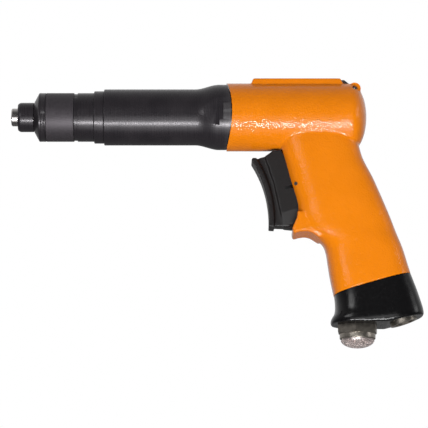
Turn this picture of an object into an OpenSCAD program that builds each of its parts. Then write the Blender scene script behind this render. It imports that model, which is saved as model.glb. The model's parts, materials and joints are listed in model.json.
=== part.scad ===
// Pistol-grip pneumatic screwdriver with a two-stage planetary gearbox,
// an adjustable ball clutch and a quick-change hex chuck.
// X runs from the chuck mouth back along the barrel, Z is up, Y is across.
// The origin is the centre of the chuck mouth. Sizes are in millimetres.

/* [Chuck] */
// Across flats of the hex bit socket
socket_af = 6.35; // [5.5:0.05:7]
// Depth of the hex bit socket
socket_depth = 26; // [20:1:28]
// Radius of the spindle where the sleeve slides
spindle_r = 5.3; // [5:0.1:5.5]
// Radius of the spindle behind the sleeve
shaft_r = 6; // [5.9:0.1:6.6]
// Outer radius of the quick-change sleeve
sleeve_r = 8.7; // [8.5:0.1:10]
// Where the sleeve starts behind the chuck mouth
sleeve_x = 3.9; // [3.5:0.1:4.5]
// Length of the quick-change sleeve
sleeve_len = 9.4; // [9:0.1:11]
// Forward travel that frees the bit
sleeve_travel = 2.4; // [1.8:0.1:2.6]

/* [Clutch] */
// Length of the nose cap in front of the cover ring
nose_len = 7; // [6:0.5:10]
// Length of the turning cover ring
cover_len = 16.7; // [14:0.1:22]
// Outer radius of nose cap, cover ring and clutch housing
clutch_r = 14.45; // [14:0.05:16]
// Bore radius of the clutch housing
clutch_bore_r = 10.2; // [10:0.1:10.6]
// Radial wall of the clutch housing under the cover ring
clutch_wall = 1.8; // [1.6:0.1:2]
// Length of the polished band behind the cover ring
band_len = 9.8; // [8:0.1:14]
// Length of the coupling nut
nut_len = 5.9; // [5:0.1:8]
// Outer radius of the coupling nut
nut_r = 15.55; // [15.2:0.05:17]
// Radius of the clutch balls
clutch_ball_r = 2; // [1.6:0.1:2.1]

/* [Gearbox] */
// Outer radius of the gear housing
gear_housing_r = 16.65; // [16.2:0.05:18]
// Length of the straight part of the gear housing
gear_housing_len = 54; // [52:0.5:60]
// Length of the flare between gear housing and rim
flare_len = 14; // [12:0.5:18]
// Radius of the rim against the main housing
rim_r = 19.4; // [18.6:0.1:20]
// Half width across the wrench flats
flat_half = 17.5; // [17:0.1:18]
// Gear module
gear_module = 0.7; // [0.66:0.01:0.72]
// Teeth on each sun and planet
sun_teeth = 12; // [12:1:12]
// Face width of the planets
planet_face = 9.5; // [8:0.5:9.5]

/* [Motor] */
// Outer radius of the motor cylinder and its end plates
liner_r = 17.4; // [17:0.1:17.6]
// Length of the motor cylinder
liner_len = 44; // [38:1:44]
// Bore radius of the motor cylinder
liner_bore_r = 14.4; // [14:0.1:14.6]
// Offset of the motor bore above the rotor
liner_offset = 1.2; // [0.8:0.1:1.3]
// Thickness of each motor end plate
plate_t = 6; // [5.5:0.5:7]
// Number of rotor vanes
vane_count = 5; // [4:1:6]

/* [Housing] */
// Outer radius of the barrel
barrel_r = 20.2; // [20:0.1:22]
// Where the domed rear of the barrel ends
barrel_end = 210.5; // [208:0.5:214]
// Half width of the grip
grip_half = 16.8; // [16:0.1:18]
// Angle of the trigger and grip axis from the upright
grip_tilt = 16.5; // [16:0.1:17]
// Wall of the boot around the foot of the grip
boot_wall = 2.4; // [2:0.1:3]
// Height of the hanger rails above the barrel's axis
rail_top = 21.9; // [21.5:0.1:23]

/* [Valve and trigger] */
// Trigger travel
trigger_travel = 5; // [3:0.1:5]
// Half width of the trigger's finger flange
flange_half = 8.2; // [7.6:0.1:9.5]
// Half width of the trigger block in its pocket
block_half = 6.6; // [6:0.1:7]
// Radius of the throttle valve chamber
valve_r = 6.5; // [6:0.1:6.8]
// Radius of the valve stem
stem_r = 2; // [1.6:0.1:2.2]

/* [Air connections] */
// Thread core radius of the air inlet
inlet_r = 5.725; // [5:0.005:6]
// Outer radius of the inlet bushing
bushing_r = 8; // [7.6:0.1:8.4]
// Across flats of the silencer's hexagon
silencer_af = 22; // [20:0.5:23]

/* [Clearances] */
// Running clearance on shafts and sliding fits
run = 0.05; // [0.03:0.01:0.08]
// Free gap between turning and standing faces
gap = 0.2; // [0.15:0.05:0.3]

/* [Hidden] */
$fn = 72;
eps = 0.01;
far = 400;

// Stations along the barrel, each from the one before it
sleeve_end = sleeve_x + sleeve_len;
nose_x = sleeve_end + gap;
cover_x = nose_x + nose_len;
groove_x = cover_x + cover_len + gap;
band_x = groove_x + 1.9;
nut_x = band_x + band_len;
gear_x = nut_x + nut_len;
flare_x = gear_x + gear_housing_len;
rim_x = flare_x + flare_len;
seam_x = rim_x + 4.6;        // seam at the top and bottom of the barrel
seam_r = 64;                 // the seam is an arc in side view
seam_bulge = 3.2;            // how far the arc reaches back at the sides
plate_x = seam_x + 8.4;      // front of the motor
liner_x = plate_x + plate_t;
rear_plate_x = liner_x + liner_len;
motor_end = rear_plate_x + plate_t;

// Chuck
ball_r = 1.25;
ball_x = sleeve_x + 6.6;
socket_r = socket_af / 2 / cos(30);
ball_seat = spindle_r - ball_r;
land_x = ball_x - 1.2;
land_end = ball_x + 1.2;
recess_r = spindle_r + 1.3;
spring_room_r = sleeve_r - 1.3;
ring_x = sleeve_x + 0.7;
ring_t = 0.9;
ring_groove = 0.5;

// Clutch
tube_r = clutch_bore_r + clutch_wall;
spring_seat_x = nose_x + 17;
adjusting_nut_t = 6;
jaw_t = 6;
jaw_r = clutch_bore_r - 0.4;
jaw_ball_ring = jaw_r - 2;
carrier_x = gear_x + 3;      // front face of the driving jaw
jaw_gap = 2 * clutch_ball_r * 0.5;
jaw_end = carrier_x - jaw_gap;
jaw_x = jaw_end - jaw_t;
washer_t = 1.5;
washer_x = jaw_x - washer_t;
spigot_r = 12.9;
pilot_r = 4;
pilot_len = 6;
driver_t = 3;

// Gear train: two equal stages, each with three planets in one ring gear
ring_teeth = 3 * sun_teeth;
sun_pitch_r = gear_module * sun_teeth / 2;
ring_pitch_r = gear_module * ring_teeth / 2;
planet_orbit = 2 * sun_pitch_r;
planet_pin_r = 1.5;
addendum = 0.8 * gear_module;
dedendum = 1.1 * gear_module;
backlash = 0.1;
bearing_seat_r = 13;
bearing_x = gear_x + 17;
bearing_w = 7;
output_plate_x = bearing_x + bearing_w + 1;
output_plate_t = 4.2;
output_plate_r = ring_pitch_r + 0.4;
output_planet_x = output_plate_x + output_plate_t + 0.3;
input_plate_x = output_planet_x + planet_face + 0.7;
input_plate_t = 3.5;
input_plate_r = ring_pitch_r - addendum - 0.4;
input_planet_x = input_plate_x + input_plate_t + 0.3;
gears_end = input_planet_x + planet_face + 0.7;
ring_gear_x = output_plate_x + output_plate_t + 0.1;
gear_bore_r = ring_pitch_r + dedendum + 1.63;
ring_gear_end = gears_end + 1.5;
shaft_r_rotor = 4;

// Motor
rotor_r = liner_bore_r - liner_offset - 0.3;
rotor_end_gap = 0.15;
small_bearing_r = 9.5;
small_bearing_w = 4.5;
motor_bore_r = liner_r + run;
thread_r = liner_r + 0.5;
washer_room = 1;

// Grip. Each station is [front x, front z, rear x, rear z, half width];
// a station's outline is a rounded rectangle between its two ends.
grip_stations = [
    [158, -6, 200, -6, grip_half - 0.9],
    [158.6, -14, 204.6, -13, grip_half - 0.4],
    [159.4, -20, 206, -18.5, grip_half - 0.1],
    [161.6, -28, 208.4, -26.5, grip_half],
    [164.4, -38.5, 214.2, -38, grip_half],
    [168.6, -53, 220.6, -53, grip_half],
    [169.2, -61, 224.2, -62, grip_half],
    [172, -68, 227.2, -70, grip_half],
    [178.8, -72.4, 228.8, -74, grip_half],
    [183.6, -76.2, 230, -77, grip_half],
    [185.8, -81.5, 231.6, -81.5, grip_half],
    [186.8, -88, 233.2, -87, grip_half + 0.1],
    [188.4, -98, 235.2, -93.8, grip_half + 0.4],
    [191.4, -112, 237.4, -101, grip_half + 0.8]];
boot_stations = [
    [188.4, -98, 232.2, -86, grip_half + 0.4],
    [190.6, -107.4, 235.4, -94.6, grip_half + 0.8],
    [191.1, -114.4, 238.9, -104, grip_half + 1.1],
    [190.4, -118.5, 241.2, -111, grip_half + 1.4],
    [188.4, -122.4, 242.6, -116, grip_half + 1.8],
    [189.6, -126.4, 242.8, -119.6, grip_half + 1.5],
    [192, -130, 242.4, -124, grip_half]];
boot_seam = [190.6, -107.4];
seam_tilt = 15.9;
squareness = 3.1;            // exponent of the outline's rounded corners
outline_points = 28;
boot_floor = [[150, -124.5], [221, -124.5], [243.4, -118.8], [260, -114]];

// Trigger frame: origin where the trigger's axis enters the grip
trigger_at = [165.5, 0, -44.5];
trigger_back = 9;
pocket_back = trigger_back + trigger_travel + 0.5;
flange_t = 3.2;
finger_r = 67;
finger_reach = -15.1;        // middle of the finger face
finger_z = 5;
trigger_pin_r = 1;
trigger_pin_at = [3.2, 1.3];
trigger_pin_half = grip_half - 4.6;
bush_len = 4.5;
seat_x = pocket_back + 10.5;
seat_t = 2;
poppet_t = 3;
valve_end = seat_x + seat_t + 11;
poppet_x = seat_x + seat_t + run;

// Air passages
inlet_mouth = [231.34, 0, -123.05];
inlet_tilt = 18;
bushing_len = 14.1;
relief_t = 1.2;               // groove where the inlet thread runs out
silencer_at = [204.1, -124.6];
silencer_thread_r = 7.5;
silencer_thread_len = 12;
plenum_top = -86;
exhaust_y = 12;
passage_r = 2.8;

// Hanger
hanger_x = 203.3;
hanger_z = 15.5;
hanger_pin_r = 1.5;
ear_r = 3.6;
ear_half = 9.3;
channel_half = 6.2;
channel_floor = 19.4;
wire_r = 1;
bail_half = channel_half - gap - wire_r;
bail_z = channel_floor + wire_r + gap;
bail_tip_x = 150;
bail_bend_x = 197;
rail_x = 142.4;
rail_len = 53.8;

// ---- Helpers -------------------------------------------------------------

// Solid of revolution about the X axis; profile points are [x, radius]
module turned(profile) {
    rotate([0, 90, 0])
        rotate_extrude()
            polygon([for (p = profile) [p[1], p[0]]]);
}

// Straight cylinder along X
module rod(x0, x1, r) {
    translate([x0, 0, 0])
        rotate([0, 90, 0])
            cylinder(h = x1 - x0, r = r);
}

// Straight tube along X
module tube(x0, x1, ro, ri) {
    difference() {
        rod(x0, x1, ro);
        rod(x0 - 1, x1 + 1, ri);
    }
}

// Straight cylinder between two points, run over by extra at each end
module strut(a, b, r, extra = 0) {
    d = b - a;
    len_ab = norm(d);
    translate(a)
        rotate([0, acos(d[2] / len_ab), atan2(d[1], d[0])])
            translate([0, 0, -extra])
                cylinder(h = len_ab + 2 * extra, r = r);
}

// Straight drilling between two points
module drilling(a, b, r) {
    strut(a, b, r, 0.5);
}

// Outline in the XZ plane pulled out to a half width either side
module slab(points, half) {
    translate([0, half, 0])
        rotate([90, 0, 0])
            linear_extrude(height = 2 * half)
                polygon(points);
}

// Places children in the trigger's frame: X into the grip, Z along it
module in_trigger_frame() {
    translate(trigger_at)
        rotate([0, -grip_tilt, 0])
            children();
}

// Places children on the inlet's axis: Z out of the mouth
module in_inlet_frame() {
    translate(inlet_mouth)
        rotate([0, 180 - inlet_tilt, 0])
            children();
}

function sign_pow(v, n) = sign(v) * pow(abs(v), 2 / n);

// One rounded outline of a station, shrunk by inset
function station_ring(s, inset) =
    let (front = [s[0], s[1]], rear = [s[2], s[3]],
         mid = (front + rear) / 2,
         half = norm(rear - front) / 2,
         u = (rear - front) / (2 * half))
    [for (i = [0 : outline_points - 1])
        let (a = -360 * (i + 0.5) / outline_points,
             d = (half - inset) * sign_pow(cos(a), squareness),
             w = (s[4] - inset) * sign_pow(sin(a), squareness))
        [mid[0] + d * u[0], w, mid[1] + d * u[1]]];

// Skin over a list of closed rings of equal length
module skin(rings) {
    n = len(rings[0]);
    last = len(rings) - 1;
    polyhedron(
        points = [for (r = rings) each r],
        faces = concat(
            [[for (i = [0 : n - 1]) i]],
            [for (k = [0 : last - 1], i = [0 : n - 1])
                let (j = (i + 1) % n)
                [k * n + i, (k + 1) * n + i, (k + 1) * n + j]],
            [for (k = [0 : last - 1], i = [0 : n - 1])
                let (j = (i + 1) % n)
                [k * n + i, (k + 1) * n + j, k * n + j]],
            [[for (i = [n - 1 : -1 : 0]) last * n + i]]));
}

module stations_skin(stations, inset) {
    skin([for (s = stations) station_ring(s, inset)]);
}

// Everything above the seam between grip and boot
module above_seam(lift) {
    translate([boot_seam[0], 0, boot_seam[1]])
        rotate([0, -seam_tilt, 0])
            translate([-100, -50, lift])
                cube([250, 100, 200]);
}

// Everything below the underside, raised by lift
module below_floor(lift) {
    slab(concat([[150, -200]], [for (p = boot_floor) [p[0], p[1] + lift]],
        [[260, -200]]), 60);
}

// Coil spring along X
module coil(x0, x1, mean_r, wire, turns) {
    steps = 14;
    sides = 6;
    count = turns * steps;
    rise = x1 - x0 - 2 * wire;
    skin([for (k = [0 : count])
        let (a = 360 * k / steps,
             x = x0 + wire + rise * k / count)
        [for (i = [0 : sides - 1])
            let (b = -360 * i / sides, r = mean_r + wire * cos(b))
            [x + wire * sin(b), r * cos(a), r * sin(a)]]]);
}

// ---- Gears ---------------------------------------------------------------

pressure = 20;
function involute_deg(a) = tan(a) * 180 / PI - a;

// Half angle of a tooth at radius r; ease widens or thins it, in mm
function tooth_half(z, r, ease) =
    let (pitch = gear_module * z / 2, base = pitch * cos(pressure))
    90 / z + involute_deg(pressure)
        - involute_deg(acos(min(1, base / r)))
        + ease / pitch * 180 / PI;

function tooth_points(z, mid, radii, ease) = concat(
    [for (r = radii) let (a = mid - tooth_half(z, r, ease))
        [r * cos(a), r * sin(a)]],
    [for (k = [len(radii) - 1 : -1 : 0])
        let (r = radii[k], a = mid + tooth_half(z, r, ease))
        [r * cos(a), r * sin(a)]]);

// Toothed outline between two radii, turned by phase
module toothed(z, root, tip, ease, phase) {
    steps = 3;
    radii = [for (k = [0 : steps]) root + (tip - root) * k / steps];
    polygon([for (t = [0 : z - 1])
        each tooth_points(z, phase + 360 * t / z, radii, ease)]);
}

// Spur gear along X, a tooth at +Z turned by phase
module spur(x0, width, phase) {
    translate([x0, 0, 0])
        rotate([0, 90, 0])
            linear_extrude(height = width)
                rotate(180)
                    toothed(sun_teeth, sun_pitch_r - dedendum,
                        sun_pitch_r + addendum, -backlash, phase);
}

// Places children on the orbit of planet 1, 2 or 3
module at_planet(n) {
    rotate([120 * (n - 1), 0, 0])
        translate([0, 0, planet_orbit])
            children();
}

module planet(n, x0) {
    at_planet(n)
        difference() {
            spur(x0, planet_face, 180 / sun_teeth);
            rod(x0 - 1, x0 + planet_face + 1, planet_pin_r + run);
        }
}

module planet_pins(x0, x1) {
    for (n = [1 : 3])
        at_planet(n)
            rod(x0, x1, planet_pin_r);
}

// ---- Bearings ------------------------------------------------------------

// Outer race with its balls, in one node
module bearing_outer(x0, w, ro, ri, balls) {
    ball_orbit = (ro + ri) / 2;
    r = (ro - ri) * 0.25;
    difference() {
        tube(x0, x0 + w, ro, ball_orbit + r * 0.55);
        translate([x0 + w / 2, 0, 0])
            rotate([0, 90, 0])
                rotate_extrude()
                    translate([ball_orbit, 0])
                        circle(r = r + run);
    }
    for (i = [0 : balls - 1])
        rotate([360 * i / balls, 0, 0])
            translate([x0 + w / 2, 0, ball_orbit])
                sphere(r = r);
}

// Inner race with its groove
module bearing_inner(x0, w, ro, ri) {
    ball_orbit = (ro + ri) / 2;
    r = (ro - ri) * 0.25;
    difference() {
        tube(x0, x0 + w, ball_orbit - r * 0.55, ri);
        translate([x0 + w / 2, 0, 0])
            rotate([0, 90, 0])
                rotate_extrude()
                    translate([ball_orbit, 0])
                        circle(r = r + run);
    }
}

// ---- Main housing and grip ------------------------------------------------

// Barrel with its domed rear, as one turned body
module barrel() {
    dome = 9.5;
    turned(concat([[seam_x - 1, 0], [seam_x - 1, barrel_r]],
        [for (a = [0 : 9 : 90])
            [barrel_end - dome + dome * sin(a),
             barrel_r * cos(a)]]));
}

// Raised rails that guard the folded hanger
module rails() {
    slab([[rail_x, 10], [rail_x, barrel_r - 0.6], [rail_x + 1, rail_top],
        [rail_x + rail_len - 1.3, rail_top], [rail_x + rail_len, barrel_r - 0.6],
        [rail_x + rail_len, 10]], ear_half);
}

// Round ears that carry the hanger pin
module hanger_ears() {
    slab([[hanger_x - 4, 8], [hanger_x - 2.5, hanger_z + 2.6],
        [hanger_x + 2.5, hanger_z + 2.6], [hanger_x + 3.6, hanger_z],
        [hanger_x + 3.6, 8]], ear_half);
    translate([hanger_x, ear_half, hanger_z])
        rotate([90, 0, 0])
            cylinder(h = 2 * ear_half, r = ear_r);
}

// Channel for the folded hanger and room for its eyes
module hanger_channel() {
    slab([[rail_x + 3, channel_floor], [196, channel_floor],
        [198.6, hanger_z - 3], [hanger_x - 3, hanger_z - 4.4],
        [hanger_x + 3.4, hanger_z - 4.4], [hanger_x + 9, hanger_z - 3.4],
        [hanger_x + 9, 40], [rail_x + 3, 40]], channel_half);
}

// Lip of the grip under the trigger
module grip_lip() {
    slab([[169, -58], [168.8, -62], [166, -68.2], [166.2, -71], [166.9, -71.9],
        [170, -70.9], [174, -70.4], [177, -71.2], [182, -74.5], [190, -66]],
        grip_half - 4);
}

module trigger_pocket() {
    in_trigger_frame()
        slab([[-8.5, -22.9], [pocket_back, -22.9], [pocket_back, 20.3],
            [7.3, 20.3], [1.2 + trigger_travel, 24.6], [-12, 26.2]],
            block_half + gap);
}

module valve_bore() {
    in_trigger_frame() {
        rod(pocket_back - 1, valve_end, valve_r);
        // outlet up to the motor
        drilling([seat_x - 3, 0, 0], [seat_x - 3, 0, 24], passage_r);
    }
}

module inlet_passage() {
    in_inlet_frame()
        translate([0, 0, -bushing_len])
            cylinder(h = bushing_len + 5, r = bushing_r);
    tip = [trigger_at[0] + (valve_end - 4) * cos(grip_tilt), 0,
        trigger_at[2] + (valve_end - 4) * sin(grip_tilt)];
    foot = [inlet_mouth[0] - bushing_len * sin(inlet_tilt), 0,
        inlet_mouth[2] + bushing_len * cos(inlet_tilt)];
    drilling(foot, tip, inlet_r - 1);
}

module exhaust_passages() {
    for (side = [-1, 1]) {
        drilling([177, side * (exhaust_y + 0.6), -11],
            [196, side * exhaust_y, -72], passage_r);
        drilling([196, side * exhaust_y, -72],
            [silencer_at[0], side * 5, -93], passage_r);
        translate([196, side * exhaust_y, -72])
            sphere(r = passage_r);
    }
    translate([silencer_at[0], 0, -140])
        cylinder(h = 140 + plenum_top, r = silencer_thread_r);
}

module housing() color([0.93, 0.5, 0.1])
    difference() {
        union() {
            barrel();
            rails();
            hanger_ears();
            intersection() {
                union() {
                    stations_skin(grip_stations, 0);
                    grip_lip();
                }
                above_seam(0);
            }
            difference() {
                stations_skin(boot_stations, boot_wall + run);
                above_seam(1);
                below_floor(boot_wall + run);
            }
        }
        // arched seam against the gear housing
        translate([seam_x + seam_bulge - seam_r, 30, 0])
            rotate([90, 0, 0])
                cylinder(h = 60, r = seam_r, $fn = 120);
        rod(seam_x - 5, motor_end + washer_room, motor_bore_r);
        rod(seam_x - 5, plate_x, thread_r);
        rod(motor_end, motor_end + 5, small_bearing_r - 0.5);
        hanger_channel();
        translate([hanger_x, 30, hanger_z])
            rotate([90, 0, 0])
                cylinder(h = 60, r = hanger_pin_r);
        trigger_pocket();
        valve_bore();
        inlet_passage();
        exhaust_passages();
        in_trigger_frame()
            translate([trigger_pin_at[0], 30, trigger_pin_at[1]])
                rotate([90, 0, 0])
                    cylinder(h = 60, r = trigger_pin_r);
    }

module handle_boot() color([0.06, 0.06, 0.06])
    difference() {
        stations_skin(boot_stations, 0);
        above_seam(-gap);
        below_floor(0);
        difference() {
            stations_skin(boot_stations, boot_wall);
            below_floor(boot_wall);
        }
        in_inlet_frame()
            translate([0, 0, -bushing_len])
                cylinder(h = 40, r = bushing_r + run);
        translate([silencer_at[0], 0, -140])
            cylinder(h = 40, r = silencer_thread_r + 0.3);
    }

// ---- Air connections -------------------------------------------------------

module inlet_bushing() color([0.55, 0.53, 0.5])
    in_inlet_frame()
        translate([0, 0, -bushing_len])
            difference() {
                cylinder(h = bushing_len + 0.4, r = bushing_r);
                translate([0, 0, 1 + relief_t])
                    cylinder(h = bushing_len, r = inlet_r);
                translate([0, 0, 1])
                    cylinder(h = relief_t + eps, r = inlet_r + 0.5);
                translate([0, 0, -1])
                    cylinder(h = 3, r = inlet_r - 1);
            }

module inlet_screen() color([0.7, 0.7, 0.68])
    in_inlet_frame()
        translate([0, 0, 0.1 - bushing_len])
            difference() {
                cylinder(h = 0.8, r = inlet_r - 1.02);
                for (i = [0 : 5])
                    rotate(60 * i)
                        translate([inlet_r * 0.48, 0, -1])
                            cylinder(h = 3, r = 0.8);
                translate([0, 0, -1])
                    cylinder(h = 3, r = 0.9);
            }

module at_silencer() {
    translate([silencer_at[0], 0, silencer_at[1]])
        children();
}

hex_h = 5.2;
collar_h = 3.2;
dome_h = 5.2;
dome_r = silencer_af / 2 - 1.2;
module silencer_body() color([0.62, 0.6, 0.56])
    at_silencer()
        difference() {
            union() {
                rotate(7)
                    translate([0, 0, -hex_h])
                        cylinder(h = hex_h, r = silencer_af / 2 / cos(30), $fn = 6);
                translate([0, 0, -hex_h - collar_h])
                    cylinder(h = collar_h + 1, r = silencer_af / 2 - 0.5);
                cylinder(h = silencer_thread_len, r = silencer_thread_r - run);
            }
            translate([0, 0, -20])
                cylinder(h = 60, r = silencer_thread_r - 2.2);
            translate([0, 0, -hex_h - collar_h - 1])
                cylinder(h = collar_h + 2.5, r = silencer_af / 2 - 2);
            translate([0, 0, -hex_h - collar_h - 1])
                cylinder(h = 2, r = dome_r);
        }

module silencer_mesh() color([0.78, 0.72, 0.7])
    at_silencer()
        translate([0, 0, -hex_h - collar_h])
            rotate_extrude()
                polygon(concat(
                    [for (a = [0 : 10 : 90])
                        [dome_r * cos(a), -dome_h * sin(a)]],
                    [for (a = [90 : -10 : 0])
                        [(dome_r - 1) * cos(a),
                         1 - (dome_h - 0.2) * sin(a)]]));

module silencer_felt() color([0.85, 0.84, 0.8])
    at_silencer()
        translate([0, 0, -hex_h - collar_h + 1.7])
            cylinder(h = collar_h - 0.2, r = silencer_af / 2 - 3.4);

// ---- Gear housing, clutch housing and nose ---------------------------------

module gear_housing() color([0.15, 0.14, 0.15])
    difference() {
        union() {
            turned(concat([[gear_x, spigot_r + run],
                [gear_x, gear_housing_r - 0.3], [gear_x + 0.3, gear_housing_r]],
                [for (k = [0 : 6]) let (t = k / 6)
                    [flare_x + flare_len * t, gear_housing_r
                        + (rim_r - gear_housing_r) * t * t * (3 - 2 * t)]],
                [[seam_x + seam_bulge, rim_r],
                 [seam_x + seam_bulge, gear_bore_r], [gear_x, gear_bore_r - 4]]));
            rod(rim_x, plate_x - 0.02, thread_r - run);
        }
        // rear face of the rim follows the arched seam
        intersection() {
            tube(rim_x, plate_x, barrel_r + 2, thread_r);
            difference() {
                rod(rim_x, plate_x, 60);
                translate([seam_x + seam_bulge - seam_r - gap, 30, 0])
                    rotate([90, 0, 0])
                        cylinder(h = 60, r = seam_r, $fn = 120);
            }
        }
        for (side = [0, 180])
            rotate([side, 0, 0])
                translate([flare_x - 5, flat_half, -20])
                    cube([flare_len + 5.5, 20, 40]);
        rod(gear_x - 1, gear_x + 6, spigot_r + run);
        rod(gear_x, plate_x + 1, clutch_bore_r + 0.8);
        rod(bearing_x, plate_x + 1, bearing_seat_r);
        rod(bearing_x + bearing_w + 0.2, plate_x + 1, gear_bore_r);
    }

module coupling_nut() color([0.12, 0.11, 0.12])
    turned([[nut_x, spigot_r + run], [nut_x, nut_r - 0.5], [nut_x + 0.5, nut_r],
        [gear_x - 0.5, nut_r], [gear_x, nut_r - 0.5], [gear_x, spigot_r + run]]);

module clutch_housing() color([0.14, 0.13, 0.14])
    difference() {
        turned([[nose_x + 3.3, clutch_bore_r], [nose_x + 3.3, tube_r],
            [groove_x, tube_r], [groove_x, clutch_r - 0.55],
            [band_x, clutch_r - 0.55], [band_x, clutch_r - 0.25],
            [band_x + 0.25, clutch_r], [nut_x - 0.2, clutch_r],
            [nut_x, clutch_r - 0.2], [nut_x, spigot_r], [gear_x + 4, spigot_r],
            [gear_x + 4, clutch_bore_r]]);
        // window over the adjusting nut
        translate([spring_seat_x - 5, 5, -3.5])
            cube([7, 20, 7]);
        translate([cover_x + 2, 0, 0])
            tube(0, 1.2, tube_r + 1, tube_r - 1.07);
    }

module clutch_cover() color([0.35, 0.33, 0.35])
    difference() {
        turned([[cover_x + gap, tube_r + run], [cover_x + gap, clutch_r - 0.3],
            [cover_x + gap + 0.3, clutch_r], [groove_x - gap - 0.3, clutch_r],
            [groove_x - gap, clutch_r - 0.3], [groove_x - gap, tube_r + run]]);
        // window that lines up with the clutch housing's when turned
        translate([spring_seat_x - 5, -3.5, 5])
            cube([7, 7, 20]);
    }

module cover_oring() color([0.1, 0.1, 0.1])
    translate([cover_x + 2.6, 0, 0])
        rotate([0, 90, 0])
            rotate_extrude()
                translate([tube_r - 0.55, 0])
                    circle(r = 0.5, $fn = 24);

module nose_cap() color([0.14, 0.13, 0.14])
    turned([[nose_x, shaft_r + 1.5], [nose_x, sleeve_r], [nose_x + 3.1, clutch_r],
        [cover_x - 0.25, clutch_r], [cover_x, clutch_r - 0.25],
        [cover_x, tube_r], [nose_x + 3.3, tube_r], [nose_x + 3.3, shaft_r + 1.5]]);

module nose_bush() color([0.75, 0.6, 0.3])
    turned([[nose_x + 0.1, shaft_r + run], [nose_x + 0.1, shaft_r + 1.5],
        [nose_x + 3.3, shaft_r + 1.5], [nose_x + 3.3, clutch_bore_r],
        [nose_x + 4.5, clutch_bore_r], [nose_x + 4.5, shaft_r + 2.5],
        [nose_x + 9, shaft_r + 2.5], [nose_x + 9, shaft_r + run]]);

// ---- Spindle and chuck ------------------------------------------------------

module spindle() color([0.8, 0.79, 0.77])
    difference() {
        turned([[0, 0], [0, spindle_r - 0.6], [0.6, spindle_r],
            [land_end + 0.1, spindle_r], [land_end + 0.1, shaft_r],
            [jaw_end, shaft_r], [jaw_end, pilot_r], [carrier_x + pilot_len, pilot_r],
            [carrier_x + pilot_len, 0]]);
        translate([-1, 0, 0])
            rotate([0, 90, 0])
                cylinder(h = socket_depth + 1, r = socket_r, $fn = 6);
        tube(ring_x, ring_x + ring_t, spindle_r + 1, spindle_r - ring_groove);
        translate([ball_x, 0, 0])
            cylinder(h = 10, r = ball_r + run);
    }

module chuck_ball() color([0.85, 0.85, 0.85])
    translate([ball_x, 0, ball_seat - run])
        sphere(r = ball_r, $fn = 32);

module chuck_ring() color([0.4, 0.4, 0.4])
    difference() {
        tube(ring_x, ring_x + ring_t, spring_room_r - 0.2, spindle_r - ring_groove);
        translate([ring_x - 1, -1, -12])
            cube([3, 2, 9]);
    }

module chuck_spring() color([0.7, 0.7, 0.72])
    coil(ring_x + ring_t + 0.02, land_x - 0.02, spindle_r + 1.05, 0.4, 2);

module chuck_sleeve() color([0.16, 0.15, 0.16])
    turned([[sleeve_x, spring_room_r], [sleeve_x, sleeve_r - 1.2],
        [sleeve_x + 0.4, sleeve_r - 0.45], [sleeve_x + 1.2, sleeve_r],
        [sleeve_end - 0.4, sleeve_r], [sleeve_end, sleeve_r - 0.4],
        [sleeve_end, recess_r], [land_end, recess_r], [land_end, spindle_r + run],
        [land_x, spindle_r + run], [land_x, spring_room_r]]);

module adjusting_nut() color([0.6, 0.58, 0.55])
    difference() {
        tube(spring_seat_x - adjusting_nut_t, spring_seat_x, jaw_r - 0.2, shaft_r);
        for (i = [0 : 5])
            rotate([60 * i + 30, 0, 0])
                translate([spring_seat_x - 2.5, 0, jaw_r - 2.2])
                    cylinder(h = 6, r = 1);
    }

module clutch_spring() color([0.72, 0.72, 0.74])
    coil(spring_seat_x + 0.02, washer_x - 0.02, (jaw_r + shaft_r) / 2, 1.1, 5);

module spring_washer() color([0.66, 0.66, 0.64])
    tube(washer_x, jaw_x, jaw_r, shaft_r + run);

module ball_pockets(x) {
    for (i = [0 : 5])
        rotate([60 * i, 0, 0])
            translate([x, 0, jaw_ball_ring])
                sphere(r = clutch_ball_r + 0.02, $fn = 32);
}

module driven_jaw() color([0.5, 0.5, 0.52])
    difference() {
        tube(jaw_x, jaw_end, jaw_r, shaft_r);
        ball_pockets(jaw_end + jaw_gap / 2);
    }

module clutch_balls() color([0.86, 0.86, 0.86])
    for (i = [0 : 5])
        rotate([60 * i, 0, 0])
            translate([jaw_end + jaw_gap / 2, 0, jaw_ball_ring])
                sphere(r = clutch_ball_r, $fn = 32);

// ---- Gear train ---------------------------------------------------------------

module output_carrier() color([0.55, 0.55, 0.57])
    difference() {
        union() {
            rod(carrier_x, carrier_x + driver_t, jaw_r);
            rod(carrier_x, output_plate_x, shaft_r);
            rod(output_plate_x, output_plate_x + output_plate_t, output_plate_r);
        }
        rod(carrier_x - 1, carrier_x + pilot_len + 0.3, pilot_r + run);
        planet_pins(output_plate_x + 0.5, output_plate_x + 10);
        ball_pockets(jaw_end + jaw_gap / 2);
    }

module output_pins() color([0.8, 0.8, 0.8])
    planet_pins(output_plate_x + 0.5, output_planet_x + planet_face + 0.3);

module ring_gear() color([0.45, 0.45, 0.47])
    difference() {
        rod(ring_gear_x, ring_gear_end, gear_bore_r);
        translate([ring_gear_x - 1, 0, 0])
            rotate([0, 90, 0])
                linear_extrude(height = 60)
                    rotate(180)
                        toothed(ring_teeth, ring_pitch_r - addendum,
                            ring_pitch_r + dedendum, backlash, 180 / ring_teeth);
    }

module input_carrier() color([0.5, 0.5, 0.52])
    difference() {
        union() {
            spur(output_planet_x, input_plate_x - output_planet_x + 0.1, 0);
            rod(input_plate_x, input_plate_x + input_plate_t, input_plate_r);
        }
        planet_pins(input_plate_x + 0.5, input_plate_x + 20);
    }

module input_pins() color([0.8, 0.8, 0.8])
    planet_pins(input_plate_x + 0.5, input_planet_x + planet_face + 0.3);

module gear_spacer() color([0.5, 0.48, 0.44])
    difference() {
        rod(ring_gear_end, plate_x, gear_bore_r);
        rod(ring_gear_end + 4, plate_x + 1, gear_bore_r - 2.5);
        rod(ring_gear_end - 1, plate_x, shaft_r_rotor + 1);
    }

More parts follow.
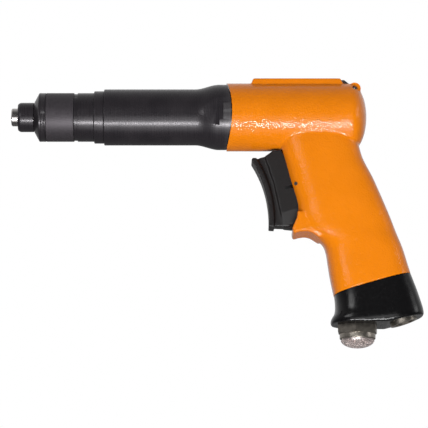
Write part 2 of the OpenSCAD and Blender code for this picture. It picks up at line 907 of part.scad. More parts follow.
module output_bearing_outer() color([0.7, 0.7, 0.72])
    bearing_outer(bearing_x, bearing_w, bearing_seat_r, shaft_r, 9);

module output_bearing_inner() color([0.76, 0.76, 0.78])
    bearing_inner(bearing_x, bearing_w, bearing_seat_r, shaft_r);

// ---- Motor ------------------------------------------------------------------------

front_bearing_x = plate_x + 0.3;
rear_bearing_x = rear_plate_x + plate_t - small_bearing_w - 0.3;

module front_plate() color([0.5, 0.5, 0.48])
    difference() {
        rod(plate_x, liner_x, liner_r);
        rod(plate_x - 1, front_bearing_x + small_bearing_w, small_bearing_r);
        rod(plate_x, liner_x + 1, shaft_r_rotor + 0.6);
    }

module rear_plate() color([0.5, 0.5, 0.48])
    difference() {
        rod(rear_plate_x, motor_end, liner_r);
        rod(rear_bearing_x, motor_end + 1, small_bearing_r);
        rod(rear_plate_x - 1, motor_end, shaft_r_rotor + 0.6);
    }

module motor_liner() color([0.66, 0.65, 0.62])
    difference() {
        rod(liner_x, rear_plate_x, liner_r);
        translate([0, 0, liner_offset])
            rod(liner_x - 1, rear_plate_x + 1, liner_bore_r);
        // exhaust ports over the two passages, intake port from the valve
        for (side = [-1, 1])
            drilling([177, 0, 0], [177, side * 24, -20], 2.4);
        drilling([180.5, 2, 0], [180.5, 3, -24], 2.2);
    }

module vane_cuts(extra) {
    slot_w = 2;
    for (i = [0 : vane_count - 1])
        rotate([360 * i / vane_count, 0, 0])
            translate([liner_x + rotor_end_gap, -slot_w / 2 + extra, rotor_r - 8 + extra])
                cube([liner_len - 2 * rotor_end_gap, slot_w - 2 * extra, 8 + 0.15 - extra]);
}

module rotor() color([0.6, 0.6, 0.62])
    difference() {
        union() {
            spur(input_planet_x + 0.2, ring_gear_end - input_planet_x, 0);
            rod(ring_gear_end, rear_bearing_x + small_bearing_w + 0.2, shaft_r_rotor);
            rod(liner_x + rotor_end_gap, rear_plate_x - rotor_end_gap, rotor_r);
        }
        vane_cuts(0);
    }

module rotor_vanes() color([0.45, 0.25, 0.12])
    vane_cuts(0.04);

module front_bearing_outer() color([0.7, 0.7, 0.72])
    bearing_outer(front_bearing_x, small_bearing_w, small_bearing_r, shaft_r_rotor, 8);

module front_bearing_inner() color([0.76, 0.76, 0.78])
    bearing_inner(front_bearing_x, small_bearing_w, small_bearing_r, shaft_r_rotor);

module rear_bearing_outer() color([0.7, 0.7, 0.72])
    bearing_outer(rear_bearing_x, small_bearing_w, small_bearing_r, shaft_r_rotor, 8);

module rear_bearing_inner() color([0.76, 0.76, 0.78])
    bearing_inner(rear_bearing_x, small_bearing_w, small_bearing_r, shaft_r_rotor);

module motor_washer() color([0.5, 0.5, 0.52])
    tube(motor_end, motor_end + washer_room, liner_r - 0.5, small_bearing_r + 1);

// ---- Trigger and throttle valve ------------------------------------------------------

module trigger() color([0.17, 0.16, 0.16])
    in_trigger_frame()
        difference() {
            union() {
                // finger flange
                intersection() {
                    slab([[-26, -17.9], [-12, -17.9], [-10, 24], [-26, 24.3]],
                        flange_half);
                    difference() {
                        translate([finger_reach - finger_r, flange_half, finger_z])
                            rotate([90, 0, 0])
                                cylinder(h = 2 * flange_half,
                                    r = finger_r + flange_t, $fn = 160);
                        translate([finger_reach - finger_r, 20, finger_z])
                            rotate([90, 0, 0])
                                cylinder(h = 40, r = finger_r, $fn = 160);
                    }
                }
                // block that runs in the grip's pocket
                slab([[-16.4, -17.9], [-12.1, -19.6], [-6.3, -22.5], [-2, -22.5],
                    [trigger_back, -18], [trigger_back, 20], [2, 20], [0.9, 24.2],
                    [-4, 25], [-9.6, 23.2], [-15.4, 23.4], [-13.2, 15],
                    [-12.6, 5], [-12.8, -6]], block_half);
            }
            // slot for the stop pin and hole for the stem
            slab([[trigger_pin_at[0] - trigger_travel - 1.5, trigger_pin_at[1] - 1.25],
                [trigger_pin_at[0] + 1.2, trigger_pin_at[1] - 1.25],
                [trigger_pin_at[0] + 1.2, trigger_pin_at[1] + 1.25],
                [trigger_pin_at[0] - trigger_travel - 1.5, trigger_pin_at[1] + 1.25]], 20);
            rod(5.4, 20, stem_r);
        }

module trigger_pin() color([0.8, 0.78, 0.75])
    in_trigger_frame()
        translate([trigger_pin_at[0], trigger_pin_half, trigger_pin_at[1]])
            rotate([90, 0, 0])
                cylinder(h = 2 * trigger_pin_half, r = trigger_pin_r);

module valve_stem() color([0.78, 0.7, 0.5])
    in_trigger_frame() {
        rod(5.4, poppet_x + 0.5, stem_r);
        rod(poppet_x, poppet_x + poppet_t, valve_r - 1.5);
    }

module valve_bush() color([0.75, 0.62, 0.35])
    in_trigger_frame()
        tube(pocket_back, pocket_back + bush_len, valve_r, stem_r + run);

module valve_seat() color([0.1, 0.1, 0.1])
    in_trigger_frame()
        tube(seat_x, seat_x + seat_t, valve_r, stem_r + 1.3);

module valve_spring() color([0.75, 0.75, 0.77])
    in_trigger_frame()
        coil(poppet_x + poppet_t + 0.02, valve_end - 0.02, valve_r - 2.6, 0.55, 4);

// ---- Hanger -------------------------------------------------------------------------------

module hanger_pin() color([0.8, 0.78, 0.75])
    translate([hanger_x, ear_half, hanger_z])
        rotate([90, 0, 0])
            cylinder(h = 2 * ear_half, r = hanger_pin_r);

module rod_at(x0, x1, z) {
    translate([0, 0, z])
        rod(x0, x1, wire_r);
}

module hanger_bail() color([0.5, 0.5, 0.5])
    difference() {
        union() {
            for (side = [-1, 1]) {
                translate([0, side * bail_half, 0]) {
                    strut([hanger_x, 0, hanger_z], [bail_bend_x, 0, bail_z], wire_r);
                    translate([bail_bend_x, 0, bail_z])
                        sphere(r = wire_r + 0.05, $fn = 32);
                    rod_at(bail_tip_x + bail_half, bail_bend_x, bail_z);
                    translate([hanger_x, wire_r, hanger_z])
                        rotate([90, 0, 0])
                            cylinder(h = 2 * wire_r, r = hanger_pin_r + 1.3);
                }
            }
            // round end of the loop
            translate([bail_tip_x + bail_half, 0, bail_z])
                rotate([0, 0, 90])
                    rotate_extrude(angle = 180)
                        translate([bail_half, 0])
                            circle(r = wire_r, $fn = 32);
        }
        translate([hanger_x, 20, hanger_z])
            rotate([90, 0, 0])
                cylinder(h = 40, r = hanger_pin_r + run);
    }

housing();
handle_boot();
inlet_bushing();
inlet_screen();
silencer_body();
silencer_mesh();
silencer_felt();
gear_housing();
coupling_nut();
clutch_housing();
clutch_cover();
cover_oring();
nose_cap();
nose_bush();
spindle();
chuck_sleeve();
chuck_ball();
chuck_spring();
chuck_ring();
adjusting_nut();
clutch_spring();
spring_washer();
driven_jaw();
clutch_balls();
output_carrier();
output_bearing_outer();
output_bearing_inner();
output_pins();
planet(1, output_planet_x);  // output_planet_1
planet(2, output_planet_x);  // output_planet_2
planet(3, output_planet_x);  // output_planet_3
ring_gear();
input_carrier();
input_pins();
planet(1, input_planet_x);  // input_planet_1
planet(2, input_planet_x);  // input_planet_2
planet(3, input_planet_x);  // input_planet_3
gear_spacer();
front_plate();
motor_liner();
rear_plate();
rotor();
rotor_vanes();
front_bearing_outer();
front_bearing_inner();
rear_bearing_outer();
rear_bearing_inner();
motor_washer();
trigger();
trigger_pin();
valve_stem();
valve_bush();
valve_seat();
valve_spring();
hanger_bail();
hanger_pin();
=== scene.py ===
"""Looks of a pistol-grip pneumatic screwdriver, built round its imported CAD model.

Everything is in metres in the CAD frame: X runs back along the barrel from the
chuck mouth, Z is up, Y is across. Lengths below are written in millimetres and
scaled by MM.
"""
import json
import math

import bmesh
import bpy
from mathutils import Matrix, Vector


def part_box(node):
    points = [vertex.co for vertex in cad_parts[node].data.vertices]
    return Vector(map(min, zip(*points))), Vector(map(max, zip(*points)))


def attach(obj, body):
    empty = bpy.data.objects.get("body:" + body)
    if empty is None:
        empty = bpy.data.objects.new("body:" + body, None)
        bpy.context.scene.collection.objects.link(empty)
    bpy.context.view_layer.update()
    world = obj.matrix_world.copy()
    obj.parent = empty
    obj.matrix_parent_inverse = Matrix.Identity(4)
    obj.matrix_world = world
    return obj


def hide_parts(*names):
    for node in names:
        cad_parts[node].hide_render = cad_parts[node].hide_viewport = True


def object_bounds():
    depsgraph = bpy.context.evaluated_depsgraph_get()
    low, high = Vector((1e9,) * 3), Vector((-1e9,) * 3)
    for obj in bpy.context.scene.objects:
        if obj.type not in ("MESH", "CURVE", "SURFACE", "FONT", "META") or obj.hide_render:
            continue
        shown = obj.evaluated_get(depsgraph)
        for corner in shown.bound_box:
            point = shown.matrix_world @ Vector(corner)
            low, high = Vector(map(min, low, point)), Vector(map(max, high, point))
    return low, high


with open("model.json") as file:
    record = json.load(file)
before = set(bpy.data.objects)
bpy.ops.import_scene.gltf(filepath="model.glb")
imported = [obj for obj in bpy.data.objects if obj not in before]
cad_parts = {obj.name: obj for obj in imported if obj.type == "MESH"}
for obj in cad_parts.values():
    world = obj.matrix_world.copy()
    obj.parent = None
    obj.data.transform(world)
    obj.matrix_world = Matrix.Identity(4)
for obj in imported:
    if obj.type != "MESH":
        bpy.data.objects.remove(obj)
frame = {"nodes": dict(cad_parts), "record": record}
cad_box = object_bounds()

MM = 0.001
VIEW_ELEVATION = math.radians(-10.5)
CAMERA_DISTANCE = 1.6
FIELD_WIDTH = 0.2525
AIM = Vector((120.1, 0, -58.3))

BARREL_R = 20.2
GRIP_TILT = math.radians(16.5)
TRIGGER_AT = Vector((165.5, 0, -44.5))
SEAM_TILT = math.radians(15.9)
SEAM_AT = Vector((190.6, 0, -107.4))
BOOT_WALL = 2.4
HINGE_AT = Vector((203.3, 0, 15.5))
EAR_R, PIVOT_R = 3.6, 1.5
SPIGOT_R = 12.9
RAIL_START, RAIL_END, RAIL_TOP, RAIL_SIDE = 142.4, 196.2, 21.9, 9.3
NECK_SEAM_X, NECK_SEAM_R = 66.7, 64
INLET_AT = Vector((231.34, 0, -123.05))
INLET_TILT = math.radians(18)
SILENCER_X, SILENCER_TOP, SILENCER_FLATS, SILENCER_TURN = 204.1, -124.6, 22, 7


# ---- Mesh helpers ----------------------------------------------------------

def new_object(name, verts, faces):
    """Mesh object from points in millimetres."""
    mesh = bpy.data.meshes.new(name)
    mesh.from_pydata([Vector(v) * MM for v in verts], [], faces)
    mesh.validate()
    obj = bpy.data.objects.new(name, mesh)
    bpy.context.scene.collection.objects.link(obj)
    bm = bmesh.new()
    bm.from_mesh(mesh)
    bmesh.ops.recalc_face_normals(bm, faces=bm.faces)
    bm.to_mesh(mesh)
    bm.free()
    return obj


def smooth(obj, angle=35):
    """Smooth shading with edges sharper than angle kept crisp."""
    obj.data.shade_smooth()
    obj.data.set_sharp_from_angle(angle=math.radians(angle))
    return obj


def apply_modifiers(obj):
    """Bakes the modifiers into the mesh."""
    graph = bpy.context.evaluated_depsgraph_get()
    mesh = bpy.data.meshes.new_from_object(obj.evaluated_get(graph))
    obj.modifiers.clear()
    old = obj.data
    obj.data = mesh
    bpy.data.meshes.remove(old)
    return obj


def join(obj, others):
    """Joins the other meshes into obj as separate shells."""
    bm = bmesh.new()
    bm.from_mesh(obj.data)
    for other in others:
        bm.from_mesh(other.data)
        bpy.data.objects.remove(other)
    bm.to_mesh(obj.data)
    bm.free()
    return obj


def cut(obj, cutters, operation="DIFFERENCE"):
    """Boolean of obj with each cutter; the cutters are used up."""
    for cutter in cutters:
        mod = obj.modifiers.new("cut", "BOOLEAN")
        mod.operation = operation
        mod.solver = "MANIFOLD"
        mod.object = cutter
        apply_modifiers(obj)
        bpy.data.objects.remove(cutter)
    return obj


def remesh(obj, full):
    mod = obj.modifiers.new("remesh", "REMESH")
    mod.mode = "VOXEL"
    mod.voxel_size = full * MM
    mod.use_smooth_shade = True
    return apply_modifiers(obj)


def relax(obj, rounds, factor=0.5, where=None):
    """Laplacian smoothing of the vertices that where(co in mm) picks."""
    bm = bmesh.new()
    bm.from_mesh(obj.data)
    picked = [v for v in bm.verts if where is None or where(v.co / MM)]
    for _ in range(rounds):
        bmesh.ops.smooth_vert(bm, verts=picked, factor=factor,
                              use_axis_x=True, use_axis_y=True, use_axis_z=True)
    bm.to_mesh(obj.data)
    bm.free()
    return obj


def rounded(profile, steps=4):
    """Outline points (x, r, fillet) with each corner turned into an arc."""
    points = []
    count = len(profile)
    for i, (x, r, size) in enumerate(profile):
        here = Vector((x, r))
        before = Vector(profile[i - 1][:2]) - here
        after = Vector(profile[(i + 1) % count][:2]) - here
        if size <= 0 or before.length < 1e-6 or after.length < 1e-6:
            points.append(here)
            continue
        reach = min(size, before.length * 0.49, after.length * 0.49)
        a = here + before.normalized() * reach
        b = here + after.normalized() * reach
        for k in range(steps + 1):
            t = k / steps
            points.append(a * (1 - t) ** 2 + here * 2 * t * (1 - t) + b * t * t)
    return points


def lathe(name, profile, segments=144):
    """Closed outline of (x, r, fillet) turned about the X axis."""
    outline = rounded(profile)
    verts = []
    for s in range(segments):
        a = 2 * math.pi * s / segments
        verts += [(p.x, p.y * math.cos(a), p.y * math.sin(a)) for p in outline]
    n = len(outline)
    faces = []
    for s in range(segments):
        t = (s + 1) % segments
        faces += [(s * n + i, s * n + (i + 1) % n, t * n + (i + 1) % n, t * n + i)
                  for i in range(n)]
    return new_object(name, verts, faces)


def solid_of_revolution(name, outline, segments=144):
    """Solid turned about X from an open outline of (x, r) that starts and ends on the axis."""
    verts = [(outline[0][0], 0, 0), (outline[-1][0], 0, 0)]
    inner = outline[1:-1]
    n = len(inner)
    for s in range(segments):
        a = 2 * math.pi * s / segments
        verts += [(x, r * math.cos(a), r * math.sin(a)) for x, r in inner]
    faces = []
    for s in range(segments):
        t = (s + 1) % segments
        base, other = 2 + s * n, 2 + t * n
        faces.append((0, base, other))
        faces += [(base + i, base + i + 1, other + i + 1, other + i) for i in range(n - 1)]
        faces.append((base + n - 1, 1, other + n - 1))
    return new_object(name, verts, faces)


def rod(a, b, radius, segments=48, name="rod"):
    """Closed cylinder between two points."""
    a, b = Vector(a), Vector(b)
    turn = (b - a).to_track_quat("Z", "Y").to_matrix()
    length = (b - a).length
    verts, n = [], segments
    for z in (0, length):
        verts += [a + turn @ Vector((radius * math.cos(2 * math.pi * i / n),
                                     radius * math.sin(2 * math.pi * i / n), z))
                  for i in range(n)]
    faces = [tuple(range(n - 1, -1, -1)), tuple(range(n, 2 * n))]
    faces += [(i, (i + 1) % n, n + (i + 1) % n, n + i) for i in range(n)]
    return new_object(name, verts, faces)


def slab(points, half, name="slab"):
    """Outline in XZ pulled out to half either side of the middle."""
    n = len(points)
    verts = [(x, -half, z) for x, z in points] + [(x, half, z) for x, z in points]
    faces = [tuple(range(n)), tuple(range(2 * n - 1, n - 1, -1))]
    faces += [(i, (i + 1) % n, n + (i + 1) % n, n + i) for i in range(n)]
    return new_object(name, verts, faces)


def box(name, xs, ys, zs):
    """Closed box from its ranges along X, Y and Z."""
    verts = [(x, y, z) for x in xs for y in ys for z in zs]
    return new_object(name, verts, [(0, 1, 3, 2), (4, 6, 7, 5), (0, 4, 5, 1),
                                    (2, 3, 7, 6), (0, 2, 6, 4), (1, 5, 7, 3)])


def place(obj, matrix):
    """Moves the mesh by a matrix whose shift is in millimetres."""
    shift = Matrix.Translation(matrix.translation * MM)
    obj.data.transform(shift @ matrix.to_3x3().to_4x4())
    return obj


def trigger_frame():
    """X into the grip along the trigger's travel, Z along the grip."""
    return Matrix.Translation(TRIGGER_AT) @ Matrix.Rotation(-GRIP_TILT, 4, "Y")


def catmull(rows, per):
    """Smooth rows of numbers between the given ones."""
    out = []
    last = len(rows) - 1
    for i in range(last):
        p0, p1, p2, p3 = (rows[max(0, min(last, i + k))] for k in (-1, 0, 1, 2))
        for k in range(per):
            t = k / per
            out.append([0.5 * (2 * b + (c - a) * t + (2 * a - 5 * b + 4 * c - d) * t * t
                               + (3 * b - a - 3 * c + d) * t ** 3)
                        for a, b, c, d in zip(p0, p1, p2, p3)])
    out.append(list(rows[last]))
    return out


def sign_pow(value, power):
    """Power of the size of value, with its sign kept."""
    return math.copysign(abs(value) ** power, value)


def station_ring(row, inset, points):
    """Rounded outline of a station: front x, front z, rear x, rear z, half width, squareness."""
    front, rear = Vector(row[0:2]), Vector(row[2:4])
    mid, half = (front + rear) / 2, (rear - front).length / 2
    along = (rear - front).normalized()
    ring = []
    for i in range(points):
        a = 2 * math.pi * (i + 0.5) / points
        d = (half - inset) * sign_pow(math.cos(a), 2 / row[5])
        w = (row[4] - inset) * sign_pow(math.sin(a), 2 / row[5])
        ring.append((mid.x + d * along.x, w, mid.y + d * along.y))
    return ring


def loft(name, rows, inset=0.0, per=5, points=96):
    """Closed skin over smoothly interpolated stations."""
    rings = [station_ring(r, inset, points) for r in catmull(rows, per)]
    verts = [p for ring in rings for p in ring]
    n, last = points, len(rings) - 1
    faces = [tuple(range(n)), tuple(last * n + i for i in range(n - 1, -1, -1))]
    for k in range(last):
        faces += [(k * n + i, k * n + (i + 1) % n, (k + 1) * n + (i + 1) % n, (k + 1) * n + i)
                  for i in range(n)]
    return new_object(name, verts, faces)


def half_space(point, tilt, above, lift=0.0):
    """Large block above or below a plane through point, tilted about Y."""
    size = 200
    low, high = (lift, size) if above else (-size, lift)
    block = slab([(-size, low), (size, low), (size, high), (-size, high)], 60)
    return place(block, Matrix.Translation(point) @ Matrix.Rotation(-tilt, 4, "Y"))


# ---- Materials ---------------------------------------------------------------

def nodes_of(name):
    """New node material; returns it with its node tree and its surface shader."""
    mat = bpy.data.materials.new(name)
    mat.use_nodes = True
    tree = mat.node_tree
    return mat, tree, tree.nodes["Principled BSDF"]


def add(tree, kind, **values):
    """Adds a node; values set its sockets by name, or its properties."""
    node = tree.nodes.new(kind)
    for key, value in values.items():
        socket = node.inputs.get(key.replace("_", " ").title())
        if socket is not None:
            socket.default_value = value
        else:
            setattr(node, key, value)
    return node


def object_noise(tree, scale, detail=2.0, stretch=(1, 1, 1)):
    """Noise in the object's own metres, stretched along its axes."""
    coords = add(tree, "ShaderNodeTexCoord")
    mapping = add(tree, "ShaderNodeMapping")
    mapping.inputs["Scale"].default_value = stretch
    noise = add(tree, "ShaderNodeTexNoise", scale=scale, detail=detail, roughness=0.5)
    tree.links.new(coords.outputs["Object"], mapping.inputs["Vector"])
    tree.links.new(mapping.outputs["Vector"], noise.inputs["Vector"])
    return noise.outputs["Fac"]


def ramp(tree, source, low, high, a=0.3, b=0.7):
    """Maps a 0..1 source to a range of values."""
    node = add(tree, "ShaderNodeMapRange")
    node.inputs["From Min"].default_value = a
    node.inputs["From Max"].default_value = b
    node.inputs["To Min"].default_value = low
    node.inputs["To Max"].default_value = high
    tree.links.new(source, node.inputs["Value"])
    return node.outputs["Result"]


def mix_colour(tree, factor, low, high):
    """Colour between low and high, picked by factor."""
    node = add(tree, "ShaderNodeMix", data_type="RGBA")
    node.inputs[6].default_value = (*low, 1)
    node.inputs[7].default_value = (*high, 1)
    tree.links.new(factor, node.inputs[0])
    return node.outputs[2]


def bump(tree, height, distance, strength=1.0, after=None):
    """Normal tilted by a height of so many metres, on top of an earlier one."""
    node = add(tree, "ShaderNodeBump")
    node.inputs["Strength"].default_value = strength
    node.inputs["Distance"].default_value = distance
    tree.links.new(height, node.inputs["Height"])
    if after is not None:
        tree.links.new(after, node.inputs["Normal"])
    return node.outputs["Normal"]


def worn_edges(tree, low, high):
    """0 on flat faces and 1 on convex edges."""
    geometry = add(tree, "ShaderNodeNewGeometry")
    return ramp(tree, geometry.outputs["Pointiness"], 0.0, 1.0, low, high)


def orange_enamel():
    """Thick gloss enamel with orange peel on cast metal."""
    mat, tree, shader = nodes_of("orange_enamel")
    drift = ramp(tree, object_noise(tree, 60), 0.0, 1.0)
    tree.links.new(mix_colour(tree, drift, (0.70, 0.186, 0.003), (0.74, 0.200, 0.0042)),
                   shader.inputs["Base Color"])
    peel = bump(tree, object_noise(tree, 1100, 1.0), 0.00019)
    broad = bump(tree, object_noise(tree, 300, 1.0), 0.00022, 0.8, after=peel)
    tree.links.new(broad, shader.inputs["Normal"])
    tree.links.new(ramp(tree, object_noise(tree, 300), 0.06, 0.10), shader.inputs["Roughness"])
    shader.inputs["Specular IOR Level"].default_value = 0.34
    return mat


def black_oxide():
    """Satin blackened steel with fine turning marks round the X axis."""
    tone = 0.022
    mat, tree, shader = nodes_of("black_oxide")
    drift = ramp(tree, object_noise(tree, 90), 0.0, 1.0)
    low, high = (tone, tone * 0.86, tone * 1.04), (tone * 1.5, tone * 1.3, tone * 1.5)
    base = mix_colour(tree, drift, low, high)
    edge = add(tree, "ShaderNodeMix", data_type="RGBA")
    tree.links.new(worn_edges(tree, 0.53, 0.62), edge.inputs[0])
    tree.links.new(base, edge.inputs[6])
    edge.inputs[7].default_value = (tone * 5, tone * 4.8, tone * 5, 1)
    tree.links.new(edge.outputs[2], shader.inputs["Base Color"])
    shader.inputs["Metallic"].default_value = 0.35
    marks = object_noise(tree, 900, 2.0, stretch=(4.0, 0.05, 0.05))
    tree.links.new(bump(tree, marks, 0.0000012), shader.inputs["Normal"])
    tree.links.new(ramp(tree, marks, 0.24, 0.34), shader.inputs["Roughness"])
    return mat


def matt_phosphate():
    """Matt grey-black ring with a fine blasted grain."""
    mat, tree, shader = nodes_of("matt_phosphate")
    grain = object_noise(tree, 2600, 3.0)
    tree.links.new(mix_colour(tree, ramp(tree, grain, 0, 1), (0.036, 0.031, 0.036),
                              (0.078, 0.069, 0.078)), shader.inputs["Base Color"])
    tree.links.new(bump(tree, grain, 0.00003), shader.inputs["Normal"])
    tree.links.new(ramp(tree, grain, 0.42, 0.6), shader.inputs["Roughness"])
    shader.inputs["Metallic"].default_value = 0.5
    return mat


def gloss_moulding():
    """Glossy black moulded cap, slightly wavy."""
    mat, tree, shader = nodes_of("gloss_moulding")
    shader.inputs["Base Color"].default_value = (0.0035, 0.0033, 0.0037, 1)
    shader.inputs["Specular IOR Level"].default_value = 0.4
    waves = bump(tree, object_noise(tree, 160, 1.0), 0.00012)
    tree.links.new(waves, shader.inputs["Normal"])
    tree.links.new(ramp(tree, object_noise(tree, 500, 3), 0.16, 0.28), shader.inputs["Roughness"])
    return mat


def trigger_moulding():
    """Brown-black plastic with a fine spark-eroded texture."""
    mat, tree, shader = nodes_of("trigger_moulding")
    grain = object_noise(tree, 1500, 3.0)
    tree.links.new(mix_colour(tree, ramp(tree, grain, 0, 1), (0.004, 0.0032, 0.0034),
                              (0.010, 0.008, 0.0084)), shader.inputs["Base Color"])
    tree.links.new(bump(tree, grain, 0.00003), shader.inputs["Normal"])
    tree.links.new(ramp(tree, grain, 0.38, 0.50), shader.inputs["Roughness"])
    return mat


def metal(name, low, high, rough, grain=900, stretch=(1, 1, 1), depth=0.00001):
    """Bare or plated metal whose tone and gloss drift with a grain."""
    mat, tree, shader = nodes_of(name)
    shader.inputs["Metallic"].default_value = 1.0
    noise = object_noise(tree, grain, 3.0, stretch)
    tree.links.new(mix_colour(tree, ramp(tree, noise, 0, 1), low, high),
                   shader.inputs["Base Color"])
    tree.links.new(ramp(tree, noise, *rough), shader.inputs["Roughness"])
    tree.links.new(bump(tree, noise, depth), shader.inputs["Normal"])
    return mat


def soft_matter(name, low, high, rough, grain, depth):
    """Rubber, felt or board: a rough non-metal with its own grain."""
    mat, tree, shader = nodes_of(name)
    noise = object_noise(tree, grain, 4.0)
    tree.links.new(mix_colour(tree, ramp(tree, noise, 0, 1), low, high),
                   shader.inputs["Base Color"])
    tree.links.new(ramp(tree, noise, *rough), shader.inputs["Roughness"])
    tree.links.new(bump(tree, noise, depth), shader.inputs["Normal"])
    return mat


MATERIALS = {
    "orange_paint": orange_enamel(),
    "boot_black": gloss_moulding(),
    "blackened_steel": black_oxide(),
    "matt_ring": matt_phosphate(),
    "bright_steel": metal("bright_steel", (0.46, 0.44, 0.43), (0.60, 0.57, 0.56),
                          (0.16, 0.28), 1200, (3, 0.1, 0.1)),
    "nickel": metal("nickel", (0.34, 0.31, 0.27), (0.44, 0.40, 0.35), (0.28, 0.38), 500,
                    depth=0.000002),
    "sintered": metal("sintered", (0.68, 0.60, 0.58), (0.88, 0.80, 0.78),
                      (0.3, 0.45), 1500, depth=0.00003),
    "trigger_plastic": trigger_moulding(),
    "machined_steel": metal("machined_steel", (0.30, 0.30, 0.31), (0.42, 0.42, 0.43),
                            (0.25, 0.4), 1500),
    "bearing_steel": metal("bearing_steel", (0.66, 0.66, 0.68), (0.74, 0.74, 0.76),
                           (0.08, 0.16), 700),
    "spring_steel": metal("spring_steel", (0.34, 0.34, 0.36), (0.44, 0.44, 0.46),
                          (0.25, 0.38), 2000),
    "bronze": metal("bronze", (0.52, 0.34, 0.13), (0.64, 0.44, 0.19), (0.3, 0.45), 1800),
    "motor_iron": metal("motor_iron", (0.22, 0.21, 0.20), (0.30, 0.29, 0.28), (0.35, 0.5), 1600),
    "vane_board": soft_matter("vane_board", (0.2, 0.08, 0.03), (0.3, 0.13, 0.05),
                              (0.5, 0.65), 1400, 0.00002),
    "black_rubber": soft_matter("black_rubber", (0.008, 0.008, 0.008), (0.014, 0.014, 0.014),
                                (0.5, 0.65), 1200, 0.00002),
    "felt": soft_matter("felt", (0.6, 0.58, 0.52), (0.75, 0.73, 0.67), (0.85, 0.95), 2500,
                        0.00015),
    "dark_wire": metal("dark_wire", (0.16, 0.16, 0.165), (0.26, 0.26, 0.265), (0.3, 0.42), 1500),
}

SLOT_OF = {s["node"]: s["material_slot"] for s in frame["record"]["subparts"]}
BODY_OF = {n: b for b, ns in frame["record"]["behaviour"]["bodies"].items() for n in ns}


def paint(obj, slot):
    """Gives obj the material of a slot."""
    obj.data.materials.clear()
    obj.data.materials.append(MATERIALS[slot])
    return obj


def finish_piece(obj, node, *more):
    """Makes obj stand for CAD nodes: same body, same slot."""
    paint(obj, SLOT_OF[node])
    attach(obj, BODY_OF[node])
    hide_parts(node, *more)
    return obj


# ---- Camera and light -------------------------------------------------------------

def make_camera():
    """Long lens a little below the object; returns the point it looks at."""
    aim = AIM * MM
    away = Vector((0, -math.cos(VIEW_ELEVATION), math.sin(VIEW_ELEVATION)))
    data = bpy.data.cameras.new("camera")
    data.lens = data.sensor_width * CAMERA_DISTANCE / FIELD_WIDTH
    camera = bpy.data.objects.new("camera", data)
    camera.location = aim + away * CAMERA_DISTANCE
    camera.rotation_euler = (-away).to_track_quat("-Z", "Y").to_euler()
    bpy.context.scene.collection.objects.link(camera)
    bpy.context.scene.camera = camera
    return aim


def area_light(name, aim, azimuth, elevation, distance, size, power, mirrored=True):
    """Rectangular soft light aimed at the object; azimuth 0 is the camera's side.
    One that is not mirrored lights the piece without showing in its gloss."""
    az, el = math.radians(azimuth), math.radians(elevation)
    away = Vector((math.sin(az) * math.cos(el), -math.cos(az) * math.cos(el), math.sin(el)))
    data = bpy.data.lights.new(name, "AREA")
    data.shape = "RECTANGLE"
    data.size, data.size_y = size
    data.energy = power
    light = bpy.data.objects.new(name, data)
    light.location = aim + away * distance
    light.rotation_euler = (-away).to_track_quat("-Z", "Y").to_euler()
    light.visible_glossy = mirrored
    bpy.context.scene.collection.objects.link(light)


def make_world():
    """White to the eye, and a soft gradient as a light: bright behind, dim in front."""
    world = bpy.data.worlds.new("studio")
    bpy.context.scene.world = world
    world.use_nodes = True
    tree = world.node_tree
    shown = tree.nodes["Background"]
    shown.inputs["Color"].default_value = (1, 1, 1, 1)
    light = add(tree, "ShaderNodeBackground")
    coords = add(tree, "ShaderNodeTexCoord")
    split = add(tree, "ShaderNodeSeparateXYZ")
    tree.links.new(coords.outputs["Generated"], split.inputs[0])
    behind = ramp(tree, split.outputs["Y"], 0.10, 0.9, -0.6, 0.6)
    above = ramp(tree, split.outputs["Z"], 0.2, 1.0, -0.15, 0.25)
    product = add(tree, "ShaderNodeMath", operation="MULTIPLY")
    tree.links.new(behind, product.inputs[0])
    tree.links.new(above, product.inputs[1])
    tree.links.new(product.outputs[0], light.inputs["Strength"])
    path = add(tree, "ShaderNodeLightPath")
    mix = add(tree, "ShaderNodeMixShader")
    tree.links.new(path.outputs["Is Camera Ray"], mix.inputs[0])
    tree.links.new(light.outputs[0], mix.inputs[1])
    tree.links.new(shown.outputs[0], mix.inputs[2])
    tree.links.new(mix.outputs[0], tree.nodes["World Output"].inputs["Surface"])


def make_stage():
    """Camera, world and lights: a key strip low in front, and soft fills."""
    aim = make_camera()
    make_world()
    area_light("key_strip", aim, 0, -35, 1.2, (0.85, 0.04), 14.5)
    area_light("low_band", aim, 0, -13, 1.2, (0.85, 0.22), 1.2)
    area_light("soft_below", aim, 0, -54, 1.3, (1.4, 0.60), 3.0)
    area_light("left_corner", aim, -34, 12, 1.2, (0.42, 0.30), 1.6)
    area_light("right_side", aim, 78, 10, 1.2, (0.40, 0.40), 1.2)
    area_light("front_fill", aim, 8, 24, 1.5, (1.6, 1.4), 6.4, mirrored=False)
    area_light("top_fill", aim, 180, 74, 1.5, (1.4, 1.0), 4.5, mirrored=False)
    area_light("back_fill", aim, 180, 16, 1.5, (1.6, 1.4), 4.0, mirrored=False)
    bpy.context.scene.view_settings.view_transform = "Standard"


# ---- Orange casting ----------------------------------------------------------------

